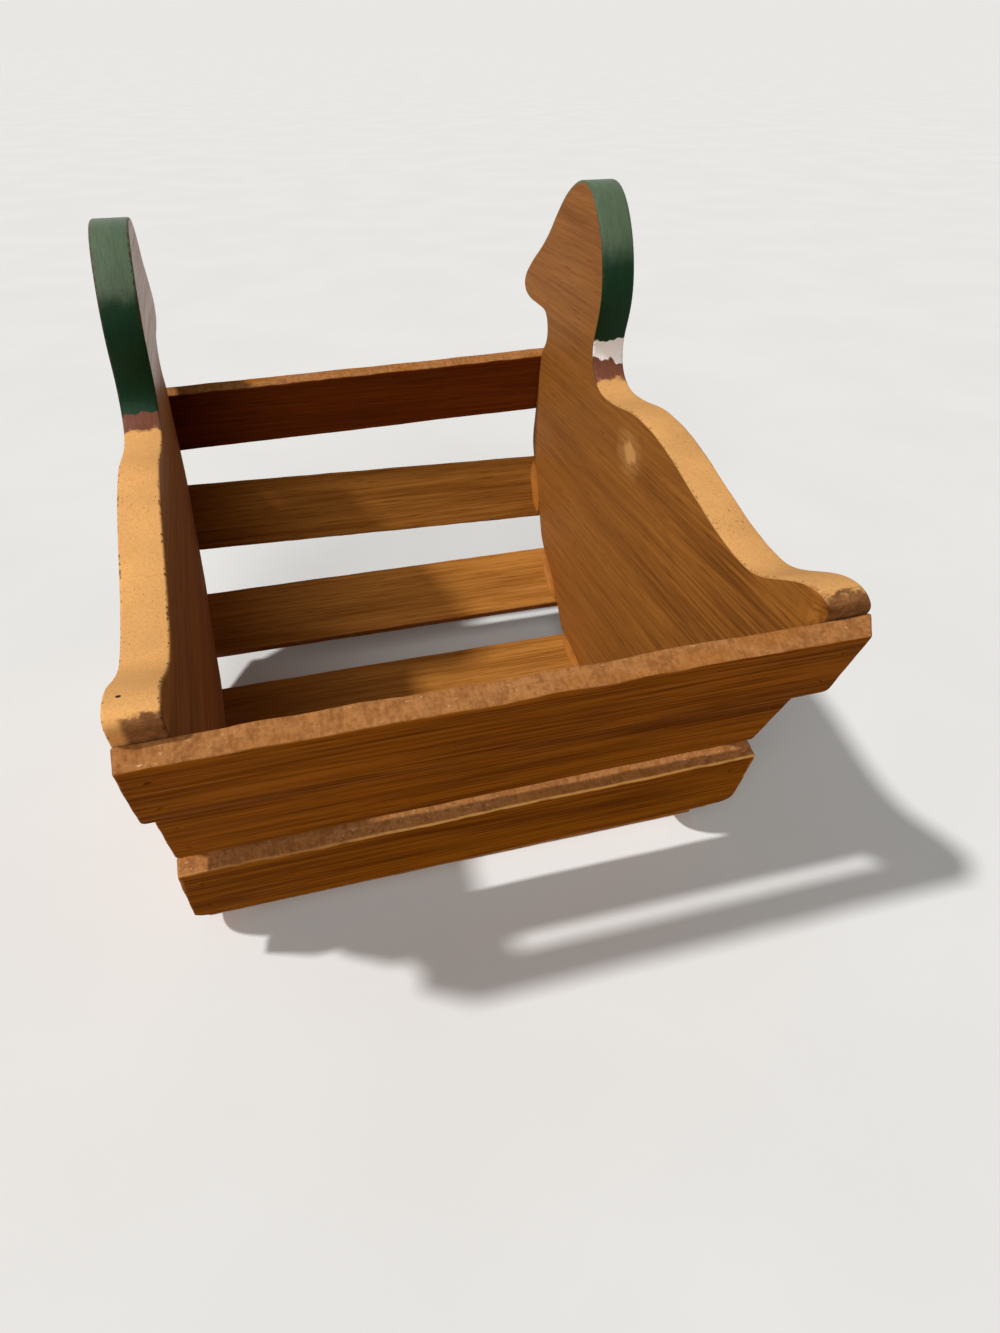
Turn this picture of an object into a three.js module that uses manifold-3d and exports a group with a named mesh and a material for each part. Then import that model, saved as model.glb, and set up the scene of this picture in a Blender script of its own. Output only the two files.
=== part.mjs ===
// A slatted wooden basket between two side boards sawn to a duck's silhouette.
// Millimetres, +Z up, +Y from the tails to the bills, +X across the basket.
// Each slat lies on the sawn edge of both boards and is held there by brads.

import * as THREE from 'three';
import { mergeVertices } from 'three/addons/utils/BufferGeometryUtils.js';
import Module from 'manifold-3d';

const wasm = await Module();
wasm.setup();

// Boards
const BASKET_WIDTH = 180; // over the outer faces of the two boards
const BOARD_THICKNESS = 12;
const RIGHT_CROWN = 196.9; // height of the head above the boards' bottom edge
const LEFT_CROWN = 191.2; // the left head was sawn a little lower

// Slats
const SLAT_THICKNESS = 6.5;
const LATH_WIDTH = 27; // of most slats
const WIDE_LATH_WIDTH = 28;
const NARROW_LATH_WIDTH = 26;
const GLUE_LINE = 0.3; // film of glue between a slat and the board edge
const SEAT_MARGIN = 1; // flat left on the board edge past each side of a slat

// Brads
const BRAD_LENGTH = 20;
const BRAD_DIAMETER = 1.2;
const BRAD_POINT = 1.6; // length of the tapered point
const BRAD_HEAD_DIAMETER = 2;
const BRAD_HEAD_HEIGHT = 0.9;
const BRAD_SINK = 0.4; // head set below the face of the slat
const BRAD_PITCH = 14; // between the two brads at one end of a slat
const BRAD_CLEARANCE = 0.3; // round the brad and under its point

// Facets
const CURVE_STEPS = 8;
const BRAD_SIDES = 8;

// Where each slat sits, in order round the hull from the tail to the breast. y and z are the middle
// of its seat on the board edge, from the tail's end and from the boards' bottom edge. turn is the
// angle that the outward face has turned round the hull: 0 faces the tail and 90 faces the floor.
// inset shortens both ends, and skew turns the slat on its seat.
const PLAIN_FIT = { inset: 0, skew: 0 };
const tailSlat1 = { y: 9.6, z: 106, turn: 24.5, width: WIDE_LATH_WIDTH, skew: 0.75 };
const tailSlat2 = { y: 33.3, z: 71, turn: 25, width: WIDE_LATH_WIDTH, inset: 1, skew: 1.3 };
const tailSlat3 = { y: 46.3, z: 34.3, turn: 17, width: WIDE_LATH_WIDTH, skew: 0.75 };
const bottomSlat1 = { y: 80.5, z: 0, turn: 90, width: LATH_WIDTH };
const bottomSlat2 = { y: 124.5, z: 0, turn: 90, width: LATH_WIDTH };
const breastSlat1 = { y: 168.3, z: 3.5, turn: 104, width: LATH_WIDTH };
const breastSlat2 = { y: 202.4, z: 26.9, turn: 131.6, width: WIDE_LATH_WIDTH };
const breastSlat3 = { y: 226, z: 64.3, turn: 158, width: WIDE_LATH_WIDTH, skew: 1.5 };
const breastSlat4 = { y: 227, z: 109.3, turn: 193, width: NARROW_LATH_WIDTH, skew: -1.2 };
const SEATS = [
  { name: 'tail_slat_1', ...PLAIN_FIT, ...tailSlat1 },
  { name: 'tail_slat_2', ...PLAIN_FIT, ...tailSlat2 },
  { name: 'tail_slat_3', ...PLAIN_FIT, ...tailSlat3 },
  { name: 'bottom_slat_1', ...PLAIN_FIT, ...bottomSlat1 },
  { name: 'bottom_slat_2', ...PLAIN_FIT, ...bottomSlat2 },
  { name: 'breast_slat_1', ...PLAIN_FIT, ...breastSlat1 },
  { name: 'breast_slat_2', ...PLAIN_FIT, ...breastSlat2 },
  { name: 'breast_slat_3', ...PLAIN_FIT, ...breastSlat3 },
  { name: 'breast_slat_4', ...PLAIN_FIT, ...breastSlat4 },
];
const SEAT_CURVE = 0.36; // handle of the curve between two seats, as a share of the gap

// The free edge of a board, from the throat over the head and the back to the tail. Each knot has
// the heading of the edge there, in degrees from +Y, and the handles of the curves before and after.
const throat = { y: 216.2, z: 135.5, heading: 90, before: 6, after: 5 };
const chin = { y: 224, z: 143.8, heading: 0, before: 6, after: 4 };
const billUnderside = { y: 237, z: 143.8, heading: 0, before: 4, after: 7 };
const billTip = { y: 248.8, z: 149.3, heading: 90, before: 3.8, after: 6.7 };
const forehead = { y: 214.8, z: 176.4, heading: 133, before: 12.4, after: 15 };
const crown = { y: 180, heading: 180, before: 13, after: 12 };
const headBack = { y: 157.8, z: 164.5, heading: 270, before: 14, after: 10 };
const nape = { y: 163.3, z: 142, heading: 270, before: 7, after: 7 };
const shoulder = { y: 149, z: 129.5, heading: 180, before: 9, after: 11 };
const back = { y: 119, z: 132.5, heading: 180, before: 11, after: 27 };
const rump = { y: 40, z: 116.3, heading: 180, before: 24, after: 12 };
const tailTop = { y: 7.5, z: 126.7, heading: 180, before: 10.5, after: 7.3 };
const TAIL_END_HANDLE = 4.6; // of the tail's end, where it runs down to the first seat

const WOOD = { color: 0x8a4f1e, roughness: 0.6, metalness: 0 };
const BOARD = { color: 0xc98a4a, roughness: 0.6, metalness: 0 };
const STEEL = { color: 0x3a2a20, roughness: 0.5, metalness: 0.8 };

const radians = THREE.MathUtils.degToRad;

// Booleans

function toSolid(geometry) {
  const bare = geometry.clone();
  bare.deleteAttribute('normal');
  bare.deleteAttribute('uv');
  const merged = mergeVertices(bare);
  const vertProperties = new Float32Array(merged.attributes.position.array);
  const triVerts = new Uint32Array(merged.index.array);
  return new wasm.Manifold(new wasm.Mesh({ numProp: 3, vertProperties, triVerts }));
}

function toGeometry(solid) {
  const { vertProperties, triVerts } = solid.getMesh();
  const geometry = new THREE.BufferGeometry();
  geometry.setAttribute('position', new THREE.BufferAttribute(vertProperties, 3));
  geometry.setIndex(new THREE.BufferAttribute(triVerts, 1));
  geometry.computeVertexNormals();
  return geometry;
}

function cut(geometry, tools) {
  let solid = toSolid(geometry);
  for (const tool of tools) {
    solid = solid.subtract(toSolid(tool));
  }
  return toGeometry(solid);
}

function namedMesh(name, geometry, look) {
  const mesh = new THREE.Mesh(geometry, new THREE.MeshStandardMaterial(look));
  mesh.name = name;
  return mesh;
}

// Seats. A seat's own frame has X along the slat, Y up the hull towards the tail, Z outwards.

function seatFrame(seat) {
  const frame = new THREE.Group();
  frame.position.set(0, seat.y, seat.z);
  frame.rotation.set(Math.PI / 2 + radians(seat.turn), 0, radians(seat.skew));
  frame.updateMatrix();
  return frame;
}

function seatEnds(seat) {
  const turn = radians(seat.turn);
  const along = new THREE.Vector2(Math.sin(turn), -Math.cos(turn));
  const middle = new THREE.Vector2(seat.y, seat.z);
  const half = seat.width / 2 + SEAT_MARGIN;
  return {
    along,
    start: middle.clone().addScaledVector(along, -half),
    end: middle.clone().addScaledVector(along, half),
  };
}

// Brads, in a seat's frame, with the heads outwards

const slatFace = GLUE_LINE + SLAT_THICKNESS;
const bradTop = slatFace - BRAD_SINK;
const bradTip = bradTop - BRAD_LENGTH;
const bradX = BASKET_WIDTH / 2 - BOARD_THICKNESS / 2;

function bradPlaces() {
  const places = [];
  for (const x of [-bradX, bradX]) {
    for (const y of [-BRAD_PITCH / 2, BRAD_PITCH / 2]) {
      places.push(new THREE.Vector2(x, y));
    }
  }
  return places;
}

function bradGeometry() {
  const radius = BRAD_DIAMETER / 2;
  const headRadius = BRAD_HEAD_DIAMETER / 2;
  const neck = BRAD_LENGTH - BRAD_HEAD_HEIGHT;
  const profile = [
    new THREE.Vector2(0, 0),
    new THREE.Vector2(radius, BRAD_POINT),
    new THREE.Vector2(radius, neck),
    new THREE.Vector2(headRadius, neck),
    new THREE.Vector2(headRadius, BRAD_LENGTH),
    new THREE.Vector2(0, BRAD_LENGTH),
  ];
  return new THREE.LatheGeometry(profile, BRAD_SIDES).rotateX(Math.PI / 2);
}

// A round hole from one height to another in a seat's frame
function hole(place, diameter, from, to) {
  const radius = diameter / 2 + BRAD_CLEARANCE;
  const geometry = new THREE.CylinderGeometry(radius, radius, to - from, BRAD_SIDES);
  return geometry.rotateX(Math.PI / 2).translate(place.x, place.y, (from + to) / 2);
}

// Slats

function slatGeometry(seat) {
  const length = BASKET_WIDTH - 2 * seat.inset;
  const blank = new THREE.BoxGeometry(length, seat.width, SLAT_THICKNESS);
  blank.translate(0, 0, GLUE_LINE + SLAT_THICKNESS / 2);
  const headSeat = bradTop - BRAD_HEAD_HEIGHT - BRAD_CLEARANCE;
  const holes = [];
  for (const place of bradPlaces()) {
    holes.push(hole(place, BRAD_DIAMETER, bradTip, slatFace + SLAT_THICKNESS));
    holes.push(hole(place, BRAD_HEAD_DIAMETER, headSeat, slatFace + SLAT_THICKNESS));
  }
  return cut(blank, holes);
}

function nailedSlat(seat) {
  const frame = seatFrame(seat);
  frame.add(namedMesh(seat.name, slatGeometry(seat), WOOD));
  bradPlaces().forEach((place, index) => {
    const brad = namedMesh(`${seat.name}_brad_${index + 1}`, bradGeometry(), STEEL);
    brad.position.set(place.x, place.y, bradTip);
    frame.add(brad);
  });
  return frame;
}

// Boards

function headingVector(heading) {
  return new THREE.Vector2(Math.cos(radians(heading)), Math.sin(radians(heading)));
}

function boardOutline(crownHeight) {
  const shape = new THREE.Shape();
  const curveTo = (from, out, to, into) => {
    const first = from.clone().add(out);
    const second = to.clone().sub(into);
    shape.bezierCurveTo(first.x, first.y, second.x, second.y, to.x, to.y);
  };
  const ends = SEATS.map(seatEnds);
  shape.moveTo(ends[0].start.x, ends[0].start.y);
  ends.forEach((seat, index) => {
    shape.lineTo(seat.end.x, seat.end.y);
    const next = ends[index + 1];
    if (next) {
      const handle = SEAT_CURVE * seat.end.distanceTo(next.start);
      const out = seat.along.clone().multiplyScalar(handle);
      const into = next.along.clone().multiplyScalar(handle);
      curveTo(seat.end, out, next.start, into);
    }
  });
  const top = { ...crown, z: crownHeight };
  const head = [throat, chin, billUnderside, billTip, forehead, top, headBack];
  const knots = [...head, nape, shoulder, back, rump, tailTop];
  let from = ends[ends.length - 1].end;
  let out = ends[ends.length - 1].along.clone().multiplyScalar(throat.before);
  for (const knot of knots) {
    const to = new THREE.Vector2(knot.y, knot.z);
    const direction = headingVector(knot.heading);
    curveTo(from, out, to, direction.clone().multiplyScalar(knot.before));
    from = to;
    out = direction.multiplyScalar(knot.after);
  }
  const tailEnd = ends[0].along.clone().multiplyScalar(TAIL_END_HANDLE);
  curveTo(from, out, ends[0].start, tailEnd);
  return shape;
}

// The outline is drawn in Y and Z and given its thickness along X
const drawingPlane = new THREE.Matrix4().makeBasis(
  new THREE.Vector3(0, 1, 0),
  new THREE.Vector3(0, 0, 1),
  new THREE.Vector3(1, 0, 0),
);

function board(name, innerFaceSide, crownHeight) {
  const options = { depth: BOARD_THICKNESS, bevelEnabled: false, curveSegments: CURVE_STEPS };
  const blank = new THREE.ExtrudeGeometry(boardOutline(crownHeight), options);
  blank.applyMatrix4(drawingPlane);
  const left = innerFaceSide > 0 ? -BASKET_WIDTH / 2 : BASKET_WIDTH / 2 - BOARD_THICKNESS;
  const pilotHoles = [];
  for (const seat of SEATS) {
    const frame = seatFrame(seat);
    for (const place of bradPlaces().filter((spot) => spot.x * innerFaceSide < 0)) {
      const pilot = hole(place, BRAD_DIAMETER, bradTip - BRAD_CLEARANCE, slatFace);
      pilotHoles.push(pilot.applyMatrix4(frame.matrix).translate(-left, 0, 0));
    }
  }
  const mesh = namedMesh(name, cut(blank, pilotHoles), BOARD);
  mesh.position.x = left;
  return mesh;
}

const basket = new THREE.Group();
basket.add(board('left_board', 1, LEFT_CROWN));
basket.add(board('right_board', -1, RIGHT_CROWN));
for (const seat of SEATS) {
  basket.add(nailedSlat(seat));
}

// The origin is under the middle of the basket, on the surface that it stands on
const extent = new THREE.Box3().setFromObject(basket, true);
const middle = extent.getCenter(new THREE.Vector3());
basket.position.set(-middle.x, -middle.y, -extent.min.z);

export default basket;
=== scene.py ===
import itertools
import math

import bmesh
import bpy
from bpy.props import FloatProperty, FloatVectorProperty, IntProperty, PointerProperty
from bpy.types import Operator, Panel, PropertyGroup
from mathutils import Matrix, Vector, noise


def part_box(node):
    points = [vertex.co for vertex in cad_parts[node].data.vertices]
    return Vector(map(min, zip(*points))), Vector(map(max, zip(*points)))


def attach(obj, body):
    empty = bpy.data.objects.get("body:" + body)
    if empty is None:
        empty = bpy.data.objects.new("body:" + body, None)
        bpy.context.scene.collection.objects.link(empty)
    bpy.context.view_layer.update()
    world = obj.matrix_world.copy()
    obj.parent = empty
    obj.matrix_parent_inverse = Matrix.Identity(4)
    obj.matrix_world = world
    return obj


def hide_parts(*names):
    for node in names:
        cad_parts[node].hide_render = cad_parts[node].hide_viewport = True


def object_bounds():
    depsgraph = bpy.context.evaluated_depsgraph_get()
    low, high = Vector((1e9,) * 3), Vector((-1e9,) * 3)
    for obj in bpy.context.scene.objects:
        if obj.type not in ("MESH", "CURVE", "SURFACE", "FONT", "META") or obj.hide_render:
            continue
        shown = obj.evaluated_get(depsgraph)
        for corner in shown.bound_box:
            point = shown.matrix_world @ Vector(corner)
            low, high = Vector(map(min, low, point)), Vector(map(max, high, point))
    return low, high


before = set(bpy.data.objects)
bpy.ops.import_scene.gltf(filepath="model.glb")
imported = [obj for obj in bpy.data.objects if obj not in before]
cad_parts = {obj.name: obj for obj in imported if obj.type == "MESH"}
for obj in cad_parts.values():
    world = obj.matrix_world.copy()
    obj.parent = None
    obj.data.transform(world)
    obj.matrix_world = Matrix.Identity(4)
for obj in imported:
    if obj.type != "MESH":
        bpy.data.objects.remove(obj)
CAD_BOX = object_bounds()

bl_info = {
    "name": "Duck Slat Basket",
    "version": (1, 0, 0),
    "blender": (4, 5, 0),
    "location": "View3D > Sidebar > Duck Basket",
    "description": "Finished boards, slats, brads and glue of a slatted basket with duck-shaped sides",
    "category": "Add Mesh",
}

MM = 0.001
# Points closer together than this are one
MERGE = 0.001 * MM
X, Y, Z = range(3)
BODY = "root"
BASKET_MIDDLE = (Vector(CAD_BOX[0]) + Vector(CAD_BOX[1])) / 2

# The side boards, and which way along X the outer face of each looks
BOARDS = {"left_board": -1, "right_board": 1}
SLAT_COUNTS = {"tail": 3, "bottom": 2, "breast": 4}
SLATS = [f"{end}_slat_{i + 1}" for end, count in SLAT_COUNTS.items() for i in range(count)]
# The basket stands on the outer faces of these, so nothing sticks out of them
STANDING = ("bottom_slat_1", "bottom_slat_2")
BRADS_PER_SLAT = 4
GLUED_SLATS = ("breast_slat_1", "breast_slat_2", "breast_slat_3")
# The first seed for the noises of each kind of piece, and the step from piece to piece
BOARD_SEEDS = (10, 3)
SLAT_SEEDS = (40, 13)
GLUE_SEEDS = (5, 1)


def screen(red, green, blue):
    """A colour given as it looks on a screen, 0 to 255, in Blender's linear values."""
    return tuple(
        c / 12.92 if c <= 0.04045 else ((c + 0.055) / 1.055) ** 2.4
        for c in (red / 255, green / 255, blue / 255)
    )


def colour_property(name, description, *shown):
    default = screen(*shown)
    return FloatVectorProperty(
        name=name, description=description, default=default, subtype="COLOR", min=0, max=1
    )


def length_property(name, description, default):
    return FloatProperty(
        name=name, description=description, default=default, min=0, unit="LENGTH", precision=4
    )


def strength_property(name, description, default):
    return FloatProperty(name=name, description=description, default=default, min=0)


class BoardLook(PropertyGroup):
    """Sizes and colours of the two side boards."""

    arris: length_property("Eased Arris", "Rounding of the sawn edge, from sanding", 0.75 * MM)
    saw_step: length_property("Saw Step", "Longest straight stretch of the sawn outline", 1.1 * MM)
    saw_wander: length_property("Saw Wander", "How far the saw strays from the line", 0.22 * MM)
    stain_light: colour_property("Light Stain", "Stained face, between the grain", 178, 113, 44)
    stain_dark: colour_property("Dark Stain", "Stained face, in the grain", 124, 72, 22)
    edge_tan: colour_property("Bare Edge", "Sealed sawn edge", 236, 174, 104)
    head_green: colour_property("Head Green", "Paint on the head", 9, 47, 22)
    # The green on top of the head is painted lighter: a painted highlight, where sheen and light fall on
    # the crown
    crown_highlight_green: colour_property("Painted Crown Highlight", "Green painted lighter on top of the head, as a highlight", 83, 101, 77)
    ring_white: colour_property("Ring White", "Paint of the neck ring", 252, 248, 245)
    breast_maroon: colour_property("Breast Maroon", "Paint on the breast", 116, 68, 49)
    bill_ochre: colour_property("Bill Ochre", "Paint on the bill", 206, 150, 56)


class SlatLook(PropertyGroup):
    """Sizes and colours of the slats."""

    arris: length_property("Eased Arris", "Rounding of the long corners", 0.55 * MM)
    grain_step: length_property("Mesh Step", "Spacing of the mesh along a slat", 2.4 * MM)
    stain_light: colour_property("Light Stain", "Stained face, between the grain", 156, 91, 12)
    stain_dark: colour_property("Dark Stain", "Stained face, in the grain", 98, 50, 2)
    # The thin, half-lit and deep stains are lit and shaded copies of the plain one: the first two are
    # painted light, deep is painted shade
    thin_light: colour_property("Light Stain, Painted Lit", "Stained face painted lighter, as lit", 190, 128, 59)
    thin_dark: colour_property("Dark Stain, Painted Lit", "Stained face painted lighter, as lit, in the grain", 130, 78, 24)
    mild_light: colour_property("Light Stain, Painted Half Lit", "Stained face painted a little lighter, as half lit", 163, 106, 44)
    mild_dark: colour_property("Dark Stain, Painted Half Lit", "Stained face painted a little lighter, as half lit, in the grain", 106, 60, 14)
    deep_light: colour_property("Light Stain, Painted Shade", "Stained face painted darker, as shaded", 116, 54, 12)
    deep_dark: colour_property("Dark Stain, Painted Shade", "Stained face painted darker, as shaded, in the grain", 78, 31, 4)
    sawn: colour_property("Sawn Edge", "Rough edge that took little stain", 174, 118, 68)
    bare: colour_property("Bare Wood", "Arris rubbed down to bare wood", 226, 168, 92)
    sawn_dark: colour_property("Sawn Edge Shade", "Hollows of the rough edge", 141, 90, 49)


class BradLook(PropertyGroup):
    """Sizes and colour of the brads."""

    head_radius: length_property("Head Radius", "Radius of the brad's head", 0.82 * MM)
    pit_radius: length_property("Pit Radius", "Radius of the pit that the head was set into", 0.95 * MM)
    pit_depth: length_property("Pit Depth", "Depth of that pit", 1.0 * MM)
    sides: IntProperty(name="Sides", description="Facets round a brad", default=16, min=8, max=48)
    steel: colour_property("Steel", "Darkened steel of the head", 44, 32, 25)


class GlueLook(PropertyGroup):
    """Size and colour of the dried glue in the corners."""

    leg: length_property("Leg", "Reach of the glue over each face", 2.8 * MM)
    amber: colour_property("Amber", "Dried glue over stain", 170, 104, 38)


class StageLook(PropertyGroup):
    """Floor, lights and camera."""

    floor: colour_property("Floor", "Pale floor and background", 234, 233, 230)
    bounce: colour_property(
        "Warm Bounce", "Colour of the light that the floor throws back", 158, 130, 104
    )
    key_strength: strength_property("Key Light", "Strength of the key light", 2.35)
    fill_strength: strength_property("Fill Light", "Strength of the soft fill light", 1.3)
    sky: strength_property("Sky", "Strength of the even light from all round", 0.16)


# Meshes


def finished_piece(name, bm, materials, nodes=()):
    """Make the bmesh a piece of the basket that stands for its CAD nodes."""
    mesh = bpy.data.meshes.new(name)
    bm.to_mesh(mesh)
    bm.free()
    for material in materials:
        mesh.materials.append(material)
    piece = bpy.data.objects.new(name, mesh)
    bpy.context.scene.collection.objects.link(piece)
    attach(piece, BODY)
    if nodes:
        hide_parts(*nodes)
    return piece


def ease(value, low, high):
    """0 below low, 1 above high and a smooth step between them."""
    t = min(max((value - low) / (high - low), 0), 1)
    return t * t * (3 - 2 * t)


# How far apart in the noise the places of two seeds are
SEED_SHIFT = (31.7, -17.3, 5.9)


def wander(seed, *place):
    """Smooth noise from -1 to 1 at a place, different for each seed."""
    return noise.noise(Vector(p + shift * seed for p, shift in zip((*place, 0, 0), SEED_SHIFT)))


def uneven(seed, wave, along, across=0):
    """One of the noises of a slat, at a place."""
    own_seed, waves_along, waves_across, strength = wave
    return strength * wander(seed + own_seed, along * waves_along, across * waves_across)


def evenly(begin, end, steps):
    """Places from begin to end with that many equal steps."""
    return [begin + (end - begin) * i / steps for i in range(steps + 1)]


def crosscut(bm, axis, places):
    """Cut right through the mesh at each place along one axis."""
    normal = Vector((0, 0, 0))
    normal[axis] = 1
    for place in places:
        everything = bm.verts[:] + bm.edges[:] + bm.faces[:]
        bmesh.ops.bisect_plane(
            bm, geom=everything, dist=MERGE, plane_co=normal * place, plane_no=normal
        )


def extrude(bm, offset):
    """Grow the faces of the mesh into a solid."""
    grown = bmesh.ops.extrude_face_region(bm, geom=bm.faces[:])
    far_end = [item for item in grown["geom"] if isinstance(item, bmesh.types.BMVert)]
    bmesh.ops.translate(bm, verts=far_end, vec=offset)


def shade_smooth(bm):
    for face in bm.faces:
        face.smooth = True


def points_of(node):
    """Corners of a CAD node's mesh."""
    return [v.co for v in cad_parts[node].data.vertices]


# Boards

# Material slots of a board
FACE_STAIN, EDGE_PAINT, OUTER_PAINT = range(3)
# A face is on a board's flat side where its normal is at least this much along X
FLAT = 0.995
# How often the outline's facets are smoothed, and how far each time
SMOOTHING = 7
SMOOTHING_SHARE = 0.5
# How closely the saw wanders from side to side
SAW_WAVES = 90
ARRIS_SEGMENTS = 4
ROUND_PROFILE = 0.5
# The part of an arris's rounding that wear has rubbed
RUBBED_DEPTHS = (0.05, 0.9)


def board_outline(bm, node, outward):
    """Leave one flat face in the bmesh: the outer face of a board's CAD node."""
    bm.from_mesh(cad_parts[node].data)
    bmesh.ops.remove_doubles(bm, verts=bm.verts, dist=MERGE)
    bm.normal_update()
    others = [f for f in bm.faces if f.normal.x * outward < FLAT]
    bmesh.ops.delete(bm, geom=others, context="FACES")
    bmesh.ops.dissolve_faces(bm, faces=bm.faces[:])


def saw_outline(bm, step, stray, seed):
    """Round off the facets of the outline and let it wander as a hand-held saw does."""
    for edge in bm.edges[:]:
        cuts = int(edge.calc_length() / step)
        if cuts:
            bmesh.ops.bisect_edges(bm, edges=[edge], cuts=cuts)
    for _ in range(SMOOTHING):
        bmesh.ops.smooth_vert(
            bm, verts=bm.verts, factor=SMOOTHING_SHARE, use_axis_y=True, use_axis_z=True
        )
    for vert in bm.verts:
        y, z = vert.co.y * SAW_WAVES, vert.co.z * SAW_WAVES
        vert.co.y += stray * wander(seed, y, z)
        vert.co.z += stray * wander(seed + 1, y, z)


# How far the end of a tail flares outwards, and where that begins and is complete: along the board,
# from the top down and from the slat up
TAIL_FLARE = {"right_board": 2.6 * MM}
FLARE_ALONG = (-0.110, -0.1185)
FLARE_DOWN = (0.1335, 0.1265)
FLARE_UP = (0.116, 0.122)
FLARE_CUTS = 6


def flare_tail(bm, flare):
    """Lean the end of a tail outwards, as a saw that isn't held square leaves it."""
    crosscut(bm, Y, evenly(*FLARE_ALONG, FLARE_CUTS))
    for vert in bm.verts:
        height = ease(vert.co.z, *FLARE_DOWN) * ease(vert.co.z, *FLARE_UP)
        reach = flare * height * ease(vert.co.y, *FLARE_ALONG)
        vert.co.x += reach
        if reach:
            for face in vert.link_faces:
                face.smooth = True


# How far a head leans inwards at its crown, and the stretch of the neck that is bent
HEAD_LEAN = {"left_board": 1.7 * MM}
LEAN_BEND = (0.1405, 0.1490)
LEAN_CUTS = 5


def lean_head(bm, lean, crown):
    """Bend the neck a little to one side, as a board that has warped is."""
    low, high = LEAN_BEND
    bend = high - low
    crosscut(bm, Z, evenly(*LEAN_BEND, LEAN_CUTS))
    slope = lean / (crown - (low + high) / 2)
    for vert in bm.verts:
        bent = min(max(vert.co.z - low, 0), bend)
        vert.co.x += slope * (bent**2 / (2 * bend) + max(vert.co.z - high, 0))


def build_board(node, outward, seed, look, materials):
    low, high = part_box(node)
    thickness = high.x - low.x
    bm = bmesh.new()
    board_outline(bm, node, outward)
    saw_outline(bm, look.saw_step, look.saw_wander, seed)
    extrude(bm, (-outward * thickness, 0, 0))
    bmesh.ops.recalc_face_normals(bm, faces=bm.faces)
    rim = [e for e in bm.edges if sum(abs(f.normal.x) > FLAT for f in e.link_faces) == 1]
    bmesh.ops.bevel(
        bm,
        geom=rim,
        offset=look.arris,
        offset_type="OFFSET",
        segments=ARRIS_SEGMENTS,
        profile=ROUND_PROFILE,
        affect="EDGES",
        material=-1,
    )
    rubbed = bm.verts.layers.float.new("arris")
    middle = (low.x + high.x) / 2
    shallow, deep = (share * look.arris for share in RUBBED_DEPTHS)
    for vert in bm.verts:
        depth = thickness / 2 - abs(vert.co.x - middle)
        vert[rubbed] = 1.0 if shallow < depth < deep else 0.0
    for face in bm.faces:
        side = face.normal.x * outward
        flat = abs(side) > FLAT
        face.smooth = not flat
        face.material_index = EDGE_PAINT
        if flat:
            face.material_index = OUTER_PAINT if side > 0 else FACE_STAIN
    if node in TAIL_FLARE:
        flare_tail(bm, outward * TAIL_FLARE[node])
    if node in HEAD_LEAN:
        lean_head(bm, -outward * HEAD_LEAN[node], high.z)
    return finished_piece("sawn_" + node, bm, materials, [node])


# Slats

# Material slots of a slat
SLAT_FACE, SLAT_EDGE = range(2)
# How much of its normal is along the slat's outward one: at most, on an edge, and at least, on a face
EDGE_ON = 0.1
FACE_ON = 0.5
# How far from its faces and from the middles of its brads a slat's mesh is cut
ARRIS_CUTS = (0.12 * MM, 0.35 * MM, 0.7 * MM, 1.3 * MM)
PIT_RINGS = (0, 0.45 * MM, 0.78 * MM, 0.95 * MM, 1.35 * MM, 2 * MM)
PIT_REACH = PIT_RINGS[-1]
MARK_DIGITS = 6


class Lath:
    """A slat's own axes and sizes, read from its CAD node, and where its brads are."""

    def __init__(self, node):
        self.node = node
        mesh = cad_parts[node].data
        self.outward = max(mesh.polygons, key=lambda p: p.area).normal.copy()
        edges = [p for p in mesh.polygons if abs(p.normal.dot(self.outward)) < EDGE_ON]
        across = max(edges, key=lambda p: p.area).normal
        self.along = across.cross(self.outward)
        if self.along.x < 0:
            self.along.negate()
        axes = (self.along, across, self.outward)
        spans = [[point.dot(axis) for axis in axes] for point in points_of(node)]
        middle = [(min(s) + max(s)) / 2 for s in zip(*spans)]
        self.middle = self.along * middle[0] + across * middle[1] + self.outward * middle[2]
        if (self.middle - BASKET_MIDDLE).dot(self.outward) < 0:
            self.outward.negate()
        self.across = self.outward.cross(self.along)
        self.half = Vector((max(s) - min(s)) / 2 for s in zip(*spans))
        self.brads = [self.local(self.brad_top(i)) for i in range(BRADS_PER_SLAT)]

    def brad_node(self, index):
        return f"{self.node}_brad_{index + 1}"

    def brad_top(self, index):
        """Middle of a brad's head, on top."""
        points = points_of(self.brad_node(index))
        centre = sum(points, Vector()) / len(points)
        top = max(p.dot(self.outward) for p in points)
        return centre + self.outward * (top - centre.dot(self.outward))

    def local(self, point):
        """A point of the row frame in the slat's own axes."""
        offset = point - self.middle
        return Vector((offset.dot(self.along), offset.dot(self.across), offset.dot(self.outward)))

    def matrix(self, origin):
        """From the slat's own axes, at an origin, to the row frame."""
        turn = Matrix((self.along, self.across, self.outward)).transposed().to_4x4()
        return Matrix.Translation(origin) @ turn


# How far in mm a slat's corners are worn off, along and across it: at the lower left, lower right, upper
# left and upper right
PLAIN_CORNERS = ((1.6, 1.4), (1.6, 1.4), (1.2, 1.2), (1.2, 1.2))
WORN_CORNERS = {
    "tail_slat_1": ((1.4, 1.6), (2, 2), (1, 1), (1, 1)),
    "tail_slat_2": ((1.4, 1.4), (1.2, 1.2), (1, 1), (1, 1)),
    "tail_slat_3": ((16, 2.5), (5, 4), (1, 1), (1.5, 2)),
}
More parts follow.
